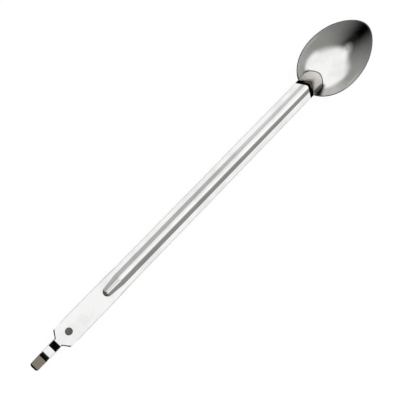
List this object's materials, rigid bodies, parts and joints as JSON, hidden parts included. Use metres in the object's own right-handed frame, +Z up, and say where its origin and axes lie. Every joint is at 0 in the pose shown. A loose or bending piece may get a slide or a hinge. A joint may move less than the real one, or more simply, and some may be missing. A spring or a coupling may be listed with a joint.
{
  "type": "long-handled spoon",
  "caption": "Long-handled stainless spoon: pressed bowl spot welded under a ribbed strip handle with a hang hole and a bent hook at its end.",
  "frame": {"origin": "middle of the bounding box in plan, on the level surface that the bottom of the bowl and the tip of the hook both rest on", "axes": "+X along the spoon from the hook to the tip of the bowl, +Y across it, to the left when looking from the hook towards the bowl, +Z up, out of the bowl's mouth"},
  "size_m": [0.5334, 0.068, 0.0259],
  "materials": {
    "bowl_steel": "polished stainless sheet, faint press and buffing lines",
    "handle_steel": "bright polished stainless strip, faint lengthwise grain",
    "weld_steel": "fused stainless, dull"
  },
  "bodies": {
    "root": {"bowl": "bowl_steel", "handle": "handle_steel", "weld_nugget_front": "weld_steel", "weld_nugget_left": "weld_steel", "weld_nugget_right": "weld_steel"}
  },
  "joints": []
}
